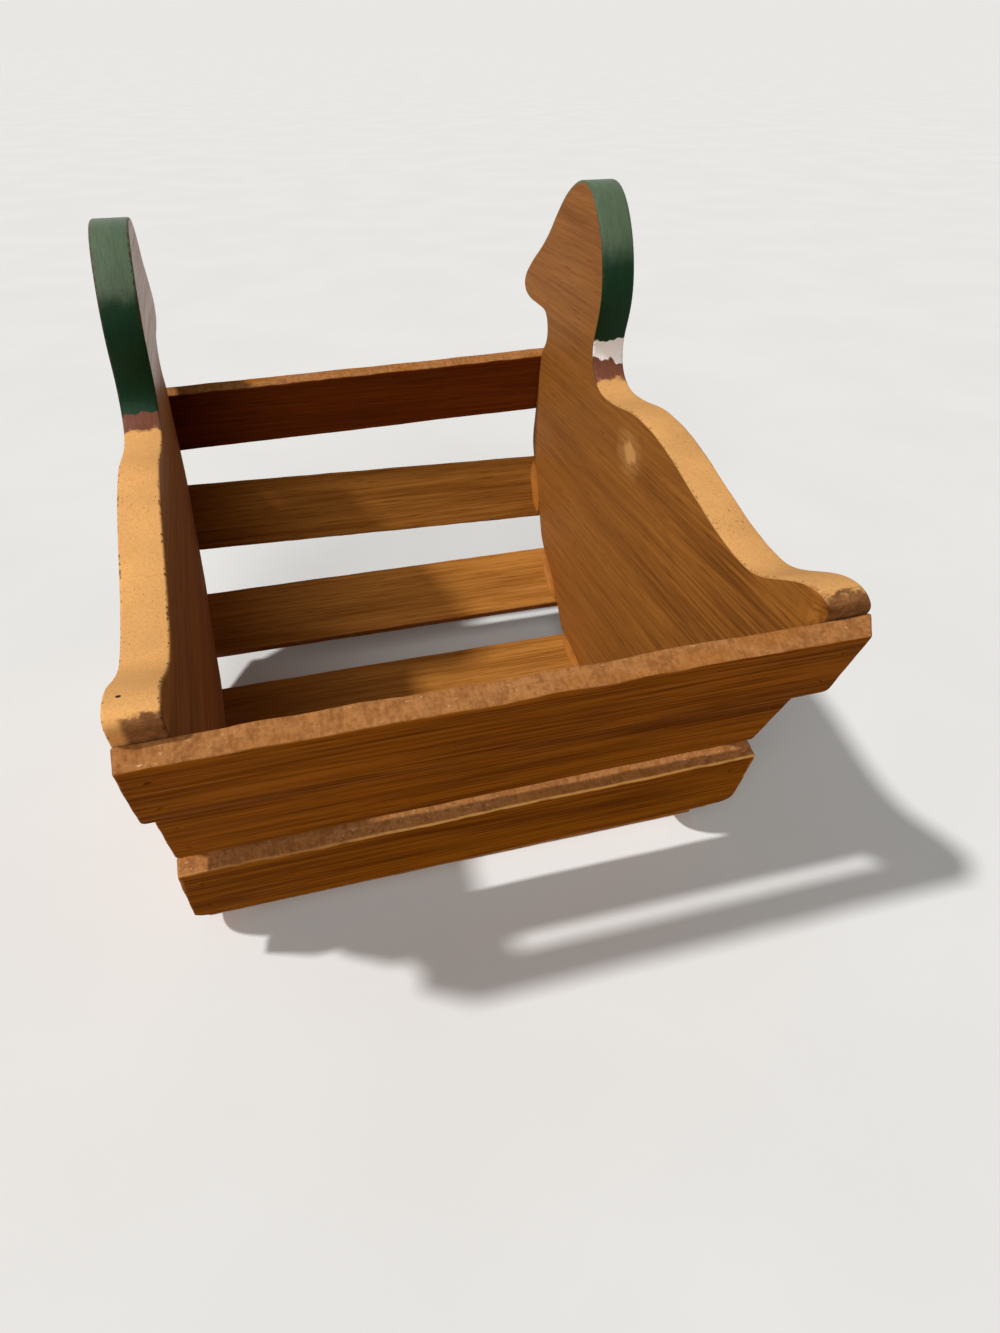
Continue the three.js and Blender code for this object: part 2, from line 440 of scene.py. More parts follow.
# How much longer than square the saw left a slat's right end: at its inner upper corner, its outer
# upper corner and its lower corners
END_CUTS = {
    "tail_slat_1": (3.2 * MM, 0, 0),
    "tail_slat_2": (0.8 * MM, 0.8 * MM, -3.3 * MM),
    "tail_slat_3": (1.5 * MM, 1.5 * MM, 0),
}
SQUARE_END = (0, 0, 0)
END_CUT_REACH = 5 * MM
# How much an arris is rubbed and how far that reaches, in roundings: usually, and down to bare wood
USUAL_WEAR = (1, 1.4)
BARE_WEAR = (2, 2.6)
WEAR_BEGINS = 0.2
# The slat whose outer upper arris is bare, less so towards its left end: between these places, it goes
# from one share to the other
BARE_ARRIS = "tail_slat_3"
BARE_FROM = (-0.06, -0.02, 0.25, 1.0)
# How rough the saw left the upper edge of a slat
ROUGH_EDGES = {"tail_slat_1": 0.55 * MM, "tail_slat_2": 0.3 * MM, "tail_slat_3": 0.4 * MM}
PLAIN_ROUGHNESS = 0.2 * MM
# Noises that make a slat and its glue uneven: what each adds to the piece's seed, its waves in a metre
# in the two directions that it needs, and its strength
ARRIS_SWELL = (0, 70, 0, 0.45)
EDGE_WANDER = (0, 75, 90, 1)
EDGE_TEARS = (3, 420, 300, 0.4)
FACE_WARP = (7, 22, 60, 0.15 * MM)
ARRIS_CHIPS = (11, 60, 0, 0.8)
END_TEARS = (5, 140, 140, 0.25 * MM)
PIT_TEARS = (0, 900, 900, 0.12 * MM)
GLUE_SWELL = (0, 60, 0, 0.2)
# Where the roughness of edges and arrises begins, in half sizes of the slat, and how long rough ends are
EDGE_BEGINS = 0.7
ARRIS_BEGINS = 0.4
END_REACH = 3 * MM
# How thick the wood is that a brad's pit draws in, and the share of the pit that is flat
PIT_SKIN = 1 * MM
PIT_BOTTOM = 0.5
# Kinds of slat stain: the plain one, and copies of it with painted light and shade; the two lighter
# copies are painted light, for slats that the light falls on, and the darkest is painted shade, for a
# slat in shade.
# How much more evenly the copies' grain shows, and the slats that have them
PLAIN_STAIN = "stain"
STAINS_WITH_PAINTED_LIGHT = (PLAIN_STAIN, "thin", "mild", "deep")
EVEN_STAIN = 0.6
# Breast slats 1 to 3 get copies with painted light, and breast slat 4 the copy with painted shade
SLAT_STAINS_WITH_PAINTED_LIGHT = {
    "breast_slat_1": "thin",
    "breast_slat_2": "thin",
    "breast_slat_3": "mild",
    "breast_slat_4": "deep",
}


def cut_places(half, step, marks):
    """Where to cut a slat's mesh in one direction: evenly, and closer by its arrises and brads."""
    places = []
    count = round(2 * half / step)
    for i in range(1, count):
        place = -half + 2 * half * i / count
        if all(abs(place - mark) > PIT_REACH for mark in marks) and half - abs(place) > ARRIS_CUTS[-1]:
            places.append(place)
    for depth in ARRIS_CUTS:
        places += [half - depth, depth - half]
    for mark in marks:
        for ring in PIT_RINGS:
            places += {mark - ring, mark + ring}
    return places


def ease_arrises(point, half, radius, seed):
    """Round the long corners of a box, more in some places than in others."""
    quarter = (point.y > 0) + 2 * (point.z > 0)
    radius *= 1 + uneven(seed + quarter, ARRIS_SWELL, point.x)
    core = Vector(min(max(p, radius - h), h - radius) for p, h in zip(point, half))
    reach = point - core
    if reach.length > 0:
        return core + reach.normalized() * radius
    return point


def wear_corner(point, half, corners):
    """Draw a worn corner of the slat in to an ellipse, seen from its face."""
    along, across = (r * MM for r in corners[(point.x > 0) + 2 * (point.y > 0)])
    x = (abs(point.x) - half.x + along) / along
    y = (abs(point.y) - half.y + across) / across
    if x > 0 and y > 0:
        drawn = max(x, y) / math.hypot(x, y)
        point.x = math.copysign(half.x - along + along * x * drawn, point.x)
        point.y = math.copysign(half.y - across + across * y * drawn, point.y)
    return point


def roughen(point, half, rough, seed):
    """Uneven sawn edges, and a face that isn't quite flat."""
    upper = point.y > 0
    amount = rough if upper else PLAIN_ROUGHNESS
    edge = ease(abs(point.y), EDGE_BEGINS * half.y, half.y)
    wave = uneven(seed, EDGE_WANDER, point.x, point.z) + uneven(seed, EDGE_TEARS, point.x, point.z)
    point.y += amount * edge * wave * (1 if upper else -1)
    arris = edge * ease(abs(point.z), ARRIS_BEGINS * half.z, half.z) * amount
    chips = arris * uneven(seed, ARRIS_CHIPS, point.x)
    point.z += uneven(seed, FACE_WARP, point.x, point.y) + chips
    end = ease(abs(point.x), half.x - END_REACH, half.x)
    point.x += end * uneven(seed, END_TEARS, point.y, point.z)
    return point


def cut_end(point, half, cut):
    """Slant the right end of a slat."""
    inner_upper, outer_upper, lower = cut
    height = (point.y / half.y + 1) / 2
    depth = (1 - point.z / half.z) / 2
    upper = outer_upper + (inner_upper - outer_upper) * depth
    near_end = ease(point.x, half.x - END_CUT_REACH, half.x)
    point.x += (lower + (upper - lower) * height) * near_end
    return point


def set_brad_pits(point, half, lath, look, seed):
    """Sink a round pit into the outer face over each brad."""
    if point.z < half.z - PIT_SKIN:
        return point
    for mark in lath.brads:
        x, y = point.x - mark.x, point.y - mark.y
        ring = max(abs(x), abs(y))
        if 0 < ring <= PIT_REACH:
            away = ease(ring, look.pit_radius, PIT_REACH)
            drawn = away + (1 - away) * ring / math.hypot(x, y)
            point.x, point.y = mark.x + x * drawn, mark.y + y * drawn
        if ring < PIT_REACH:
            torn = uneven(seed, PIT_TEARS, point.x, point.y)
            depth = look.pit_depth * (1 - ease(ring, PIT_BOTTOM * look.pit_radius, look.pit_radius))
            point.z -= depth + torn * (1 - ease(ring, look.pit_radius, PIT_REACH))
    return point


def build_slat(node, seed, look, brads, materials):
    lath = Lath(node)
    half = lath.half
    bm = bmesh.new()
    bmesh.ops.create_cube(bm, size=2)
    bmesh.ops.scale(bm, verts=bm.verts, vec=half)
    for axis in (X, Y):
        marks = sorted({round(mark[axis], MARK_DIGITS) for mark in lath.brads})
        crosscut(bm, axis, cut_places(half[axis], look.grain_step, marks))
    crosscut(bm, Z, cut_places(half.z, look.grain_step, ()))
    shade_smooth(bm)
    for face in bm.faces:
        face.material_index = SLAT_FACE if abs(face.normal.z) > FACE_ON else SLAT_EDGE
    rubbed = bm.verts.layers.float.new("arris")
    corners = WORN_CORNERS.get(node, PLAIN_CORNERS)
    rough = ROUGH_EDGES.get(node, PLAIN_ROUGHNESS)
    cut = END_CUTS.get(node, SQUARE_END)
    for vert in bm.verts:
        depths = sorted(h - abs(p) for p, h in zip(vert.co, half))
        bare = node == BARE_ARRIS and vert.co.y > 0 and vert.co.z > 0
        wear, reach = BARE_WEAR if bare else USUAL_WEAR
        vert[rubbed] = wear * (1 - ease(depths[1], WEAR_BEGINS * look.arris, reach * look.arris))
        point = ease_arrises(vert.co.copy(), half, look.arris, seed)
        point = set_brad_pits(point, half, lath, brads, seed)
        point = wear_corner(point, half, corners)
        point = cut_end(point, half, cut)
        vert.co = roughen(point, half, rough, seed)
        if node in STANDING:
            vert.co.z = min(vert.co.z, half.z)
    bmesh.ops.transform(bm, verts=bm.verts, matrix=lath.matrix(lath.middle))
    bm.normal_update()
    return finished_piece("lath_" + node, bm, materials, [node])


# Brads

# Thickness of a brad's head, length of its point, and how much deeper than in the CAD it is set
BRAD_HEAD = 0.9 * MM
BRAD_POINT = 1.6 * MM
BRAD_SHANK_RADIUS = 0.55 * MM
BRAD_EXTRA_SINK = 0.25 * MM


def build_brad(lath, index, look, material):
    node = lath.brad_node(index)
    top = lath.brad_top(index) - lath.outward * BRAD_EXTRA_SINK
    heights = [point.dot(lath.outward) for point in points_of(node)]
    length = max(heights) - min(heights) - BRAD_EXTRA_SINK
    head = look.head_radius
    profile = (
        (0, -length),
        (BRAD_SHANK_RADIUS, BRAD_POINT - length),
        (BRAD_SHANK_RADIUS, -BRAD_HEAD),
        (0.8 * head, -0.8 * BRAD_HEAD),
        (head, -0.5 * BRAD_HEAD),
        (head, -0.15 * BRAD_HEAD),
        (0.85 * head, 0),
        (0.4 * head, -0.06 * BRAD_HEAD),
        (0, -0.1 * BRAD_HEAD),
    )
    bm = bmesh.new()
    line = [bm.verts.new((radius, 0, height)) for radius, height in profile]
    edges = [bm.edges.new(pair) for pair in zip(line, line[1:])]
    bmesh.ops.spin(
        bm,
        geom=line + edges,
        cent=(0, 0, 0),
        axis=(0, 0, 1),
        angle=2 * math.pi,
        steps=look.sides,
        use_merge=True,
    )
    bmesh.ops.remove_doubles(bm, verts=bm.verts, dist=MERGE)
    bmesh.ops.recalc_face_normals(bm, faces=bm.faces)
    shade_smooth(bm)
    bmesh.ops.transform(bm, verts=bm.verts, matrix=lath.matrix(top))
    return finished_piece("driven_" + node, bm, [material], [node])


# Glue

GLUE_STATIONS = 24
# How far from a slat's edges its bead ends, how thin it gets there, and how thick it is elsewhere
GLUE_SHORT = 1.5 * MM
GLUE_TAPER = 0.9
GLUE_SIZE = 0.9
# Half of a hollow bead, in legs along the slat and out of its face; its back is sunk into the slat
GLUE_SECTION = (
    (0.05, 0.15),
    (-1, 0.15),
    (-0.92, -0.1),
    (-0.6, -0.2),
    (-0.38, -0.33),
    (-0.22, -0.5),
    (-0.1, -0.72),
    (0.05, -1),
)


def build_glue(node, seed, look, material):
    """A bead of dried glue in the corner between a slat and the right board's inner face."""
    lath = Lath(node)
    inner_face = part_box("right_board")[0].x
    corner = lath.local(Vector((inner_face, lath.middle.y, lath.middle.z)))
    leg = look.leg
    half = lath.half.y - GLUE_SHORT
    bm = bmesh.new()
    start = [bm.verts.new((corner.x + leg * x, -half, leg * z - lath.half.z)) for x, z in GLUE_SECTION]
    bm.faces.new(start)
    extrude(bm, (0, 2 * half, 0))
    crosscut(bm, Y, [half * (2 * i / GLUE_STATIONS - 1) for i in range(1, GLUE_STATIONS)])
    for vert in bm.verts:
        along = vert.co.y / half
        taper = 1 - GLUE_TAPER * along**4
        swell = taper * (GLUE_SIZE + uneven(seed, GLUE_SWELL, vert.co.y))
        vert.co.x = corner.x + (vert.co.x - corner.x) * swell
        vert.co.z = -lath.half.z + (vert.co.z + lath.half.z) * swell
    bmesh.ops.recalc_face_normals(bm, faces=bm.faces)
    shade_smooth(bm)
    bmesh.ops.transform(bm, verts=bm.verts, matrix=lath.matrix(lath.middle))
    return finished_piece("glue_" + node, bm, [material])


# Finishes


def shade(colour, share):
    """A colour at a share of its strength."""
    return tuple(c * share for c in colour)


def sign(operation):
    """The calculation that a plain sign stands for."""
    return lambda value, other=0.0: value.nodes.calc(operation, value, other)


class Value:
    """An output of a node, which plain signs calculate with; | takes the larger of two."""

    def __init__(self, nodes, socket):
        self.nodes = nodes
        self.socket = socket

    __add__ = sign("ADD")
    __sub__ = sign("SUBTRACT")
    __mul__ = sign("MULTIPLY")
    __or__ = sign("MAXIMUM")
    __abs__ = sign("ABSOLUTE")

    def __rsub__(self, other):
        return self.nodes.calc("SUBTRACT", other, self)

    def step(self, low, high, to_low=0.0, to_high=1.0):
        """A smooth step from to_low, at low, to to_high, at high."""
        inputs = {"Value": self, "From Min": low, "From Max": high, "To Min": to_low, "To Max": to_high}
        return self.nodes.node("ShaderNodeMapRange", inputs, interpolation_type="SMOOTHSTEP")

    def past(self, place, softness):
        """0 before a place and 1 past it; with a softness below 0, the other way round."""
        return self.step(place - softness, place + softness)


class Nodes:
    """The nodes of a material or a sky, with short calls to add more."""

    def __init__(self, tree):
        self.tree = tree

    def feed(self, socket, value):
        """Link a socket to a node's output, or set it to a plain value."""
        if isinstance(value, Value):
            self.tree.links.new(value.socket, socket)
        elif socket.type == "RGBA":
            socket.default_value = (*value, 1)
        else:
            socket.default_value = value

    def node(self, kind, inputs, output=0, **settings):
        """Add a node, feed its inputs and give one of its outputs."""
        node = self.tree.nodes.new(kind)
        for key, value in settings.items():
            setattr(node, key, value)
        for name, value in inputs.items():
            self.feed(node.inputs[name], value)
        return Value(self, node.outputs[output])

    def calc(self, operation, a, b):
        return self.node("ShaderNodeMath", {0: a, 1: b}, operation=operation)

    def seen(self):
        """1 where the camera looks, straight or by reflection, and 0 for light on its way."""
        kinds = ("Is Camera Ray", "Is Glossy Ray", "Is Transmission Ray")
        camera, glossy, clear = (self.node("ShaderNodeLightPath", {}, kind) for kind in kinds)
        return camera | glossy | clear


class Finish(Nodes):
    """A procedural finish on one material."""

    def __init__(self, name):
        self.material = bpy.data.materials.new(name)
        self.material.use_nodes = True
        super().__init__(self.material.node_tree)
        self.shader = self.tree.nodes["Principled BSDF"]
        self.place = self.node("ShaderNodeTexCoord", {}, "Object")

    def axis(self, name):
        """One of the Object coordinates."""
        return self.node("ShaderNodeSeparateXYZ", {0: self.place}, name)

    def attribute(self, name):
        return self.node("ShaderNodeAttribute", {}, "Fac", attribute_name=name)

    def mapped(self, scale, shift):
        """Object coordinates, scaled and then shifted."""
        inputs = {"Vector": self.place, "Location": shift, "Scale": scale}
        return self.node("ShaderNodeMapping", inputs, vector_type="POINT")

    def noise(self, scale, detail, roughness=0.5, distortion=0.0, shift=0.0):
        """Noise on the Object coordinates, scaled by one number or by three."""
        scales = scale if isinstance(scale, tuple) else (scale, scale, scale)
        inputs = {"Vector": self.mapped(scales, (shift, shift, shift)), "Scale": 1, "Detail": detail}
        inputs |= {"Roughness": roughness, "Distortion": distortion}
        return self.node("ShaderNodeTexNoise", inputs, noise_dimensions="3D")

    def grain(self, axis, size, detail, **settings):
        """Noise in marks of one length along the grain and one width across it."""
        length, width = size
        scales = tuple(1 / (length if name == axis else width) for name in "XYZ")
        return self.noise(scales, detail, **settings)

    def away(self, place, half=(1, 1, 1), seen_along=None):
        """How far it is from a place, in half sizes, as seen along one axis or in space."""
        scale = [0 if i == seen_along else 1 / h for i, h in enumerate(half)]
        shift = [-p * s for p, s in zip(place, scale)]
        inputs = {0: self.mapped(scale, shift)}
        return self.node("ShaderNodeVectorMath", inputs, "Value", operation="LENGTH")

    def mix(self, factor, a, b, blend="MIX"):
        """Mix two colours, which are the node's inputs 6 and 7; the mixed one is its output 2."""
        inputs = {"Factor": factor, 6: a, 7: b}
        return self.node("ShaderNodeMix", inputs, 2, data_type="RGBA", blend_type=blend)

    def done(self, colour, roughness, relief, depth, strength, shine):
        """Plug the finish into the shader, its relief as a bump; its shine is the same all over."""
        bump = {"Height": relief, "Distance": depth, "Strength": strength}
        inputs = {"Normal": self.node("ShaderNodeBump", bump), "Base Color": colour}
        inputs |= {"Roughness": roughness, "Specular IOR Level": shine}
        for name, value in inputs.items():
            self.feed(self.shader.inputs[name], value)
        return self.material


WOOD_SHINE = 0.04
PAINT_SHINE = 0.14
OUTSIDE_SHINE = 0.2
GLUE_SHINE = 0.15
BRAD_SHINE = 0.5
BRAD_METAL = 0.6
# Shine of the inner face of a board, and how rough it is low down and on the neck and head, which hands
# have polished between these heights
INSIDE_SHINE = {"left_board": 0.26, "right_board": 0.16}
INSIDE_ROUGHNESS = {"left_board": (1.0, 0.36), "right_board": (0.7, 0.6)}
POLISHED = (0.115, 0.155)
# How high the relief of each finish is, and how strongly it shows
GRAIN_RELIEF = (0.1 * MM, 0.7)
SAWN_RELIEF = (0.45 * MM, 0.9)
EDGE_RELIEF = (0.16 * MM, 0.9)
OUTSIDE_RELIEF = (0.12 * MM, 0.7)
BRAD_RELIEF = (0.08 * MM, 1.0)
GLUE_RELIEF = (0.1 * MM, 0.3)
FLOOR_RELIEF = (0.2 * MM, 0.1)
# Length and width of the bands and pores of stained wood, and the length of its streaks
BANDS = (120 * MM, 9 * MM)
PORES = (11 * MM, 0.36 * MM)
STREAK_LENGTH = 50 * MM
# Where in the noise the grain of each kind of face is, and the width of its streaks
SLAT_GRAIN = (3.7, 1 * MM)
INSIDE_GRAIN = (8.1, 1.2 * MM)
OUTSIDE_GRAIN = (5.3, 1.3 * MM)
# Length and width of the marks on a slat: rubbed spots on its face, and what the saw left on its edges
RUBBED_SPOTS = (8 * MM, 4 * MM)
LUMPS = (3.6 * MM, 3 * MM)
CRUMBS = (1.1 * MM, 1.1 * MM)
SAW_MARKS = (0.9 * MM, 6 * MM)
SOAKED_PATCHES = (30 * MM, 9 * MM)
SPLINTERS = (1.7 * MM, 0.8 * MM)
SPLINTER_PALE = screen(222, 188, 146)


def stain(finish, axis, light, dark, grain, strength=None):
    """Colour, relief and streaks of stained wood with its grain along one axis, strong or less so."""
    shift, streak_width = grain
    bands = finish.grain(axis, BANDS, 3, distortion=0.4, shift=shift)
    streaks = finish.grain(axis, (STREAK_LENGTH, streak_width), 4, roughness=0.62, shift=shift)
    pores = finish.grain(axis, PORES, 2, shift=shift)
    tone = bands * 0.4 + streaks * 0.6
    if strength is not None:
        tone = (tone - 0.5) * strength + 0.5
    colour = finish.mix(tone.step(0.36, 0.63), dark, light)
    pore = pores.step(0.41, 0.3, 0.0, 0.55)
    colour = finish.mix(pore, colour, shade(dark, 0.4))
    return colour, streaks - pore * 0.6, streaks


def bare_arris(finish, rubbed):
    """1 on an arris that is rubbed bare, broken up by a noise."""
    bare = finish.attribute("arris").step(1.0, 1.7) * finish.axis("X").step(*BARE_FROM)
    return bare * rubbed.step(0.3, 0.5, 0.35, 0.9)


def slat_face_finish(kind, look):
    """Planed face of a slat in the plain stain, or in a copy of it with painted light or painted shade.
    """
    finish = Finish(f"slat_{kind}")
    light, dark = getattr(look, kind + "_light"), getattr(look, kind + "_dark")
    strength = None if kind == PLAIN_STAIN else EVEN_STAIN
    colour, relief, streaks = stain(finish, "X", light, dark, SLAT_GRAIN, strength)
    rubbed = finish.grain("X", RUBBED_SPOTS, 3)
    worn = finish.attribute("arris").step(0.1, 0.9) * rubbed.step(0.4, 0.64, 0.0, 0.75)
    colour = finish.mix(worn, colour, look.sawn)
    colour = finish.mix(bare_arris(finish, rubbed), colour, look.bare)
    return finish.done(colour, streaks.step(0.3, 0.7, 0.8, 0.6), relief, *GRAIN_RELIEF, WOOD_SHINE)


def slat_edge_finish(name, look, split=False):
    """Sawn edge of a slat; a split one has small pale splinters too."""
    finish = Finish(name)
    lumps = finish.grain("X", LUMPS, 3, roughness=0.6)
    crumbs = finish.grain("X", CRUMBS, 3, roughness=0.6)
    saw_marks = finish.grain("X", SAW_MARKS, 2)
    patches = finish.grain("X", SOAKED_PATCHES, 2)
    fine = crumbs * 0.35 + saw_marks * 0.25
    tone = lumps * 0.4 + fine
    colour = finish.mix(tone.step(0.38, 0.6), look.sawn_dark, look.sawn)
    soaked = patches.step(0.5, 0.7, 0.0, 0.3 if split else 0.9)
    colour = finish.mix(soaked, colour, look.stain_light)
    if split:
        splinters = finish.grain("X", SPLINTERS, 2, roughness=0.6)
        splinter = splinters.step(0.66, 0.72) * patches.step(0.6, 0.42, 0.0, 0.65)
        colour = finish.mix(splinter, colour, SPLINTER_PALE)
    colour = finish.mix(bare_arris(finish, lumps), colour, look.bare)
    roughness = crumbs.step(0.3, 0.7, 0.9, 0.7)
    return finish.done(colour, roughness, lumps * 0.8 + fine, *SAWN_RELIEF, WOOD_SHINE)


# A board's grain shows less towards its head: between these places, it goes from one strength to another
BOARD_STRENGTH = (0.03, -0.1, 0.4, 1.1)
# A pale figure in the grain of a board, by its middle and its half sizes, and the ripple of its outline
FIGURE = {"right_board": ((0, 0.0012, 0.1243), (1, 0.0056, 0.0046))}
FIGURE_RIPPLE = (7 * MM, 3 * MM)


def pale_figure(finish, colour, streaks, figure, pale):
    """Lighten a place on a board, and the streaks round it a little."""
    ripple = finish.grain("Y", FIGURE_RIPPLE, 3)
    reach = finish.away(*figure, seen_along=X) + ripple * 1.6
    halo = reach.step(3.2, 2.0) * streaks.step(0.4, 0.6, 0.1, 0.3)
    return finish.mix(reach.step(2.0, 1.4, 0.0, 0.8) | halo, colour, pale)


def board_face_finish(node, look):
    """Stained inner face of a board, with a pale figure in the grain where there is one."""
    finish = Finish(node + "_inside")
    strength = finish.axis("Y").step(*BOARD_STRENGTH)
    colour, relief, streaks = stain(
        finish, "Y", look.stain_light, look.stain_dark, INSIDE_GRAIN, strength
    )
    if node in FIGURE:
        colour = pale_figure(finish, colour, streaks, FIGURE[node], look.edge_tan)
    roughness = finish.axis("Z").step(*POLISHED, *INSIDE_ROUGHNESS[node])
    roughness -= streaks.step(0.3, 0.7, -0.06, 0.06)
    return finish.done(colour, roughness, relief, *GRAIN_RELIEF, INSIDE_SHINE[node])


# Middle of the round patch on the breast, where the bill begins, and where the neck's paint ends behind
BREAST_MIDDLE = (0, 0.0920, 0.1148)
BILL_FROM = 0.0990
NAPE = 0.0260
# The paint of each board: the lower limits of the green, the white ring and the neck's maroon, the
# heights between which the green turns to the painted highlight on the crown, how far the white has run
# down towards the outer face, and the radius of the breast's patch. The dark patch on its tail's end,
# partly soil and partly painted shade: its top, where it begins and ends, in from the outer face, and its
# strength. Then the strength of the bare edge's colour and of the chips in the arrises, and how many more
# the head has
PAINT = {
    "left_board": {
        "green_from": 0.1418,
        "crown_highlight_from": (0.1760, 0.1830),
        "white_from": 0.1432,
        "white_run": 0,
        "neck_from": 0.1400,
        "breast_radius": 0.0634,
        "soil_and_shade_top": 0.1326,
        "soil_and_shade_from": 0.0035,
        "soil_and_shade_to": 0.0140,
        "soil_and_shade": 0.85,
        "edge": 1.0,
        "chips": 0.8,
        "head_chips": 0.09,
    },
    "right_board": {
        "green_from": 0.1528,
        "crown_highlight_from": (0.1775, 0.1885),
        "white_from": 0.1466,
        "white_run": 0.0032,
        "neck_from": 0.1425,
        "breast_radius": 0.0613,
        "soil_and_shade_top": 0.1336,
        "soil_and_shade_from": -0.006,
        "soil_and_shade_to": 0.0116,
        "soil_and_shade": 0.86,
        "edge": 0.88,
        "chips": 0.4,
        "head_chips": 0,
    },
}
# How soft the borders of the paint are, and those of the tail end's dark patch of soil and painted shade
BREAST_SOFT = 0.8 * MM
NECK_SOFT = 0.5 * MM
NAPE_SOFT = 1 * MM
BAND_SOFT = 0.3 * MM
BILL_SOFT = 0.4 * MM
SOIL_AND_SHADE_SOFT = 1 * MM
OUTER_FACE = 0.09
# How far from the basket's middle the white begins to run down, and has run down
WHITE_RUNS = (OUTER_FACE - 5 * MM, OUTER_FACE - 2 * MM)
# Width of the white ring on the outer faces
OUTSIDE_RING = 6.2 * MM
# What thinly brushed paint's colours are multiplied by, and the brush's strokes
THIN_PAINT = (0.6, 0.6, 0.6)
STROKES = (1400, 160, 160)
# How wavy the brushed borders of the paint are: the scale of the noise and its height
EDGE_WAVER = (230, 6 * MM)
OUTSIDE_WAVER = (90, 2.5 * MM)


def paint_bands(finish, ground, paint, look, waver, white_from, crown=False):
    """Green head, white ring, maroon breast and ochre bill, brushed on by hand over a ground."""
    wave_scale, wave_height = waver
    offset = (finish.noise(wave_scale, 3) - 0.5) * wave_height
    height = finish.axis("Z") + offset
    reach = finish.away(BREAST_MIDDLE, seen_along=X) + offset
    on_neck = finish.axis("Y").past(NAPE, NAPE_SOFT)
    neck = height.past(paint["neck_from"], NECK_SOFT) * on_neck
    breast = reach.past(paint["breast_radius"], -BREAST_SOFT) | neck
    run = abs(finish.axis("X")).step(*WHITE_RUNS, 0, paint["white_run"])
    ring = (height + run).past(white_from, BAND_SOFT) * on_neck
    head = height.past(paint["green_from"], BAND_SOFT)
    bill = (finish.axis("Y") + offset).past(BILL_FROM, BILL_SOFT) * (ring | head)
    green = look.head_green
    # On the edge the green is painted lighter towards the crown: a painted highlight
    if crown:
        green = finish.mix(height.step(*paint["crown_highlight_from"]), green, look.crown_highlight_green)
    colour = finish.mix(breast, ground, look.breast_maroon)
    colour = finish.mix(ring, colour, look.ring_white)
    colour = finish.mix(head, colour, green)
    colour = finish.mix(bill, colour, look.bill_ochre)
    painted = breast | ring
    strokes = finish.noise(STROKES, 3)
    thin = (painted - ring * (1.0 - head)) * strokes.step(0.6, 0.35, 0.0, 0.4)
    colour = finish.mix(thin, colour, THIN_PAINT, "MULTIPLY")
    return colour, painted, strokes


# Pores of a board's sawn edge, and a hole that a nail left in one, which is not cut but painted dark as
# the shade in it
EDGE_PORES = (1900, 900, 900)
PORE_BROWN = screen(128, 78, 38)
NAIL_HOLES = {"left_board": (-0.0866, -0.1137, 0.1333)}
NAIL_HOLE_RADIUS = 0.7 * MM
NAIL_HOLE_SHADE = screen(54, 26, 10)
# The dark patch on a tail's end, partly soil and partly painted shade: its colours and streaks, how far
# its top is smeared and how softly it ends, and where the tail ends and over what length the patch fades
SOIL_AND_SHADE_DARK = screen(88, 48, 22)
SOIL_AND_SHADE_LIGHT = screen(130, 84, 48)
SOIL_AND_SHADE_STREAK = screen(78, 42, 20)
SOIL_AND_SHADE_STREAKS = (160, 160, 1100)
SOIL_AND_SHADE_SMEAR = 3 * MM
SOIL_AND_SHADE_TOP_SOFT = 0.8 * MM
TAIL_END = -0.1178
SOIL_AND_SHADE_FADE = 1.2 * MM
# Between these heights, a board's arrises go from their usual chips to as many more as its head has
HEAD_CHIPS = (0.16, 0.18)
CHIP_BROWN = screen(92, 54, 26)


def soiled_and_shaded_tail(finish, ground, paint):
    """Darken the end of a board's tail between its own limits, partly as soil and partly as painted
    shade.
    """
    soil_and_shade = finish.noise(420, 4, 0.65)
    streaks = finish.noise(SOIL_AND_SHADE_STREAKS, 2)
    dirt_and_shade = finish.mix(soil_and_shade.step(0.4, 0.62), SOIL_AND_SHADE_DARK, SOIL_AND_SHADE_LIGHT)
    dirt_and_shade = finish.mix(streaks.step(0.5, 0.62, 0.0, 0.6), dirt_and_shade, SOIL_AND_SHADE_STREAK)
    top = paint["soil_and_shade_top"]
    below = (finish.axis("Z") + (soil_and_shade - 0.5) * SOIL_AND_SHADE_SMEAR).step(top, top - SOIL_AND_SHADE_TOP_SOFT)
    at_end = finish.axis("Y").step(TAIL_END + SOIL_AND_SHADE_FADE, TAIL_END, 0.0, paint["soil_and_shade"])
    inward = OUTER_FACE - abs(finish.axis("X"))
    begun = inward.past(paint["soil_and_shade_from"], SOIL_AND_SHADE_SOFT)
    not_ended = inward.past(paint["soil_and_shade_to"], -SOIL_AND_SHADE_SOFT)
    # The tail's end below its top is painted darker: partly soil, partly painted shade where it turns
    # from the light
    return finish.mix(at_end * below * begun * not_ended, ground, dirt_and_shade)


